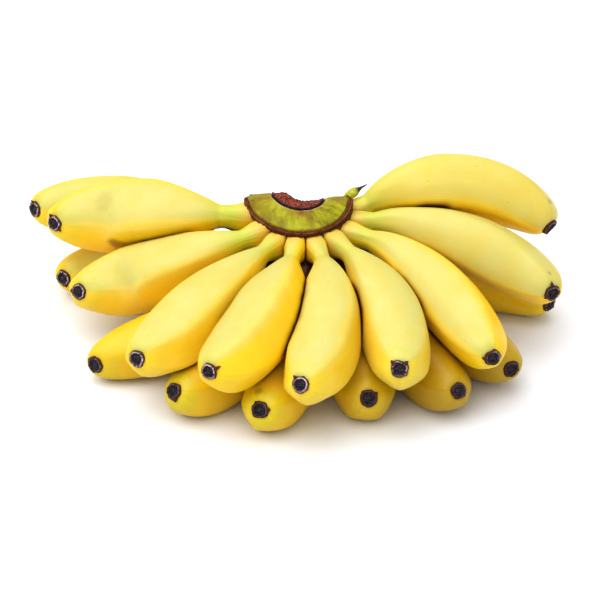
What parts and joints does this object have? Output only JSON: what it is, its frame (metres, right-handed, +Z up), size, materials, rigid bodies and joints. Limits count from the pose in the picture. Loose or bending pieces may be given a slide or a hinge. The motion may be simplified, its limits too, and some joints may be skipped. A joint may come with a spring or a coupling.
{
  "type": "hand of dessert bananas",
  "caption": "Hand of small yellow dessert bananas: short curved fingers fanned from a half-ring crown in an upper and a lower row, lying on its lower row.",
  "frame": {"origin": "on the table, at the middle of the hand's length and depth", "axes": "+Z up from the table, X along the hand's width, the fan of fingers opens towards -Y and the cut side of the crown faces +Y"},
  "size_m": [0.2808, 0.1766, 0.0907],
  "materials": {
    "peel": "ripe yellow peel, waxy satin, greenish at the stems and the blossom ends",
    "crown": "fibrous green flesh-like cushion, satin",
    "cork": "brown corky ridge, matte",
    "cut": "dark red-brown dried cut, fibrous, matte",
    "bud": "green, satin, with a dark dry tip",
    "dry_blossom": "dark dry corky stub, matte"
  },
  "bodies": {
    "root": {"finger_upper_1": "peel", "blossom_end_upper_1": "dry_blossom", "finger_upper_2": "peel", "blossom_end_upper_2": "dry_blossom", "finger_upper_3": "peel", "blossom_end_upper_3": "dry_blossom", "finger_upper_4": "peel", "blossom_end_upper_4": "dry_blossom", "finger_upper_5": "peel", "blossom_end_upper_5": "dry_blossom", "finger_upper_6": "peel", "blossom_end_upper_6": "dry_blossom", "finger_upper_7": "peel", "blossom_end_upper_7": "dry_blossom", "finger_upper_8": "peel", "blossom_end_upper_8": "dry_blossom", "finger_upper_9": "peel", "blossom_end_upper_9": "dry_blossom", "finger_lower_1": "peel", "blossom_end_lower_1": "dry_blossom", "finger_lower_2": "peel", "blossom_end_lower_2": "dry_blossom", "finger_lower_3": "peel", "blossom_end_lower_3": "dry_blossom", "finger_lower_4": "peel", "blossom_end_lower_4": "dry_blossom", "finger_lower_5": "peel", "blossom_end_lower_5": "dry_blossom", "finger_lower_6": "peel", "blossom_end_lower_6": "dry_blossom", "finger_lower_7": "peel", "blossom_end_lower_7": "dry_blossom", "finger_lower_8": "peel", "blossom_end_lower_8": "dry_blossom", "finger_lower_9": "peel", "blossom_end_lower_9": "dry_blossom", "crown": "crown", "stalk_cut": "cut", "bract_scar": "cork", "aborted_finger_right": "bud", "aborted_finger_left": "bud"}
  },
  "joints": []
}
